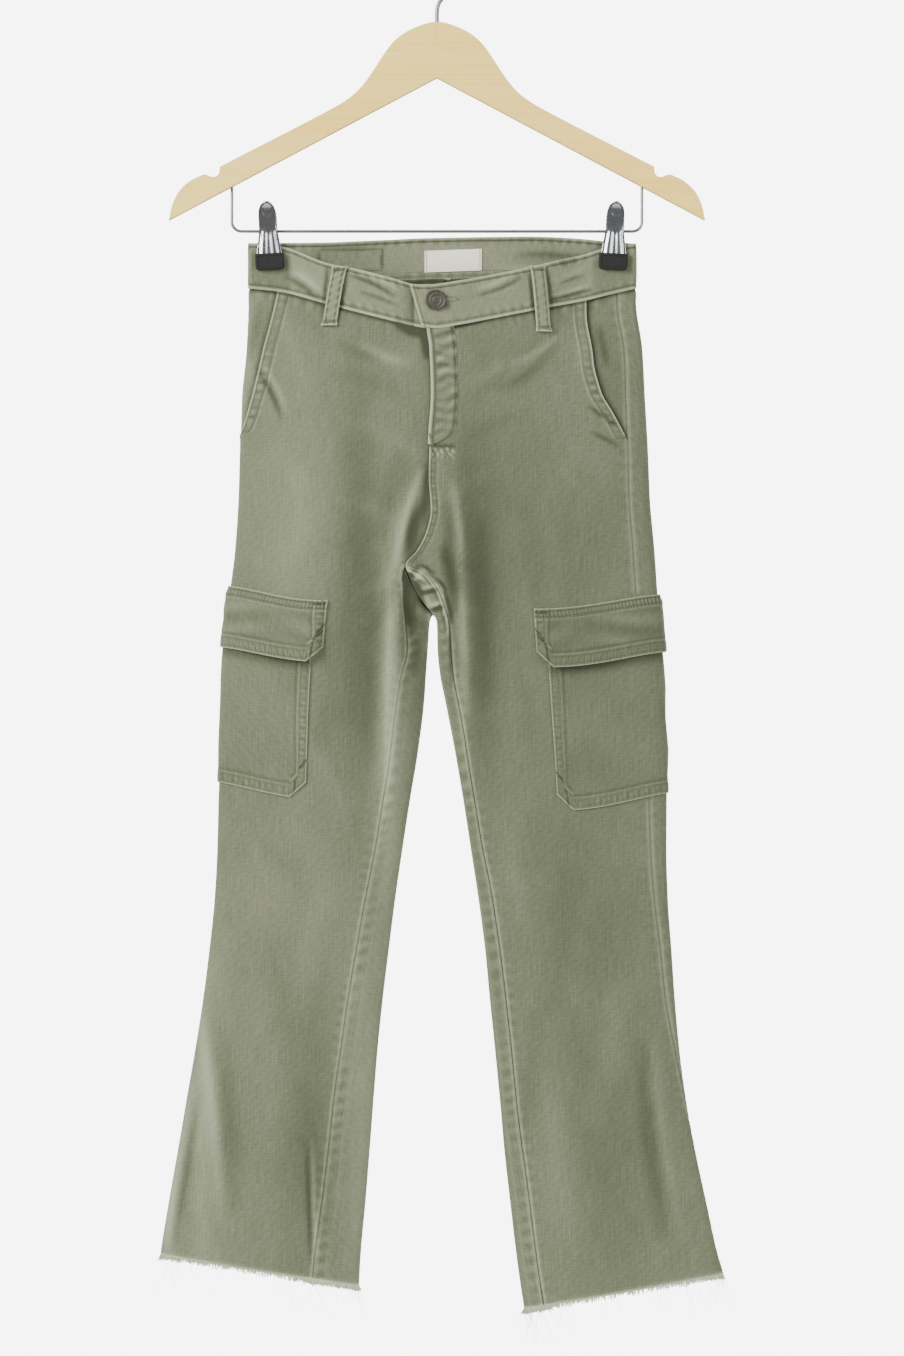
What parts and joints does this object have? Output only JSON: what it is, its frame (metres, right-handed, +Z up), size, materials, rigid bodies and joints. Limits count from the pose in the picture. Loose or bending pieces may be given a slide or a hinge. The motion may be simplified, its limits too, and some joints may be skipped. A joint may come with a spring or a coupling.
{
  "type": "jeans on a clip hanger",
  "caption": "Cropped kick-flare cargo jeans in washed olive stretch twill, hung flat by the waistband from a wooden clip hanger.",
  "frame": {"origin": "inside of the hook's top, where a rail carries the hanger", "axes": "+Z up, -Y the way the jeans' front faces, +X the wearer's left"},
  "size_m": [0.4679, 0.0575, 1.1432],
  "materials": {
    "twill": "washed olive stretch cotton twill, slightly faded along edges and seams",
    "fray_thread": "loose undyed-core yarn ends of the raw hem",
    "label_ribbon": "blank woven ribbon, cream",
    "button_metal": "antique gunmetal plating, satin",
    "wood": "pale beech, clear satin lacquer",
    "clip_chrome": "bright chrome plating",
    "steel_wire": "bright nickel-plated wire",
    "pad_rubber": "black moulded rubber, matte"
  },
  "bodies": {
    "root": {"back_left": "twill", "back_right": "twill", "belt_loop_back_centre": "twill", "belt_loop_back_left": "twill", "belt_loop_back_right": "twill", "belt_loop_front_left": "twill", "belt_loop_front_right": "twill", "button": "button_metal", "cargo_flap_left": "twill", "cargo_flap_right": "twill", "cargo_pocket_left": "twill", "cargo_pocket_right": "twill", "clip_bar": "steel_wire", "clip_jaw_back_left": "clip_chrome", "clip_jaw_back_right": "clip_chrome", "clip_jaw_front_left": "clip_chrome", "clip_jaw_front_right": "clip_chrome", "clip_pad_back_left": "pad_rubber", "clip_pad_back_right": "pad_rubber", "clip_pad_front_left": "pad_rubber", "clip_pad_front_right": "pad_rubber", "clip_spring_left": "clip_chrome", "clip_spring_right": "clip_chrome", "fly_front": "twill", "front_left": "twill", "front_right": "twill", "hanger_arm_left": "wood", "hanger_arm_right": "wood", "hem_fray_left": "fray_thread", "hem_fray_right": "fray_thread", "hook": "steel_wire", "pocket_facing_left": "twill", "pocket_facing_right": "twill", "size_label": "label_ribbon", "waistband": "twill"}
  },
  "joints": []
}
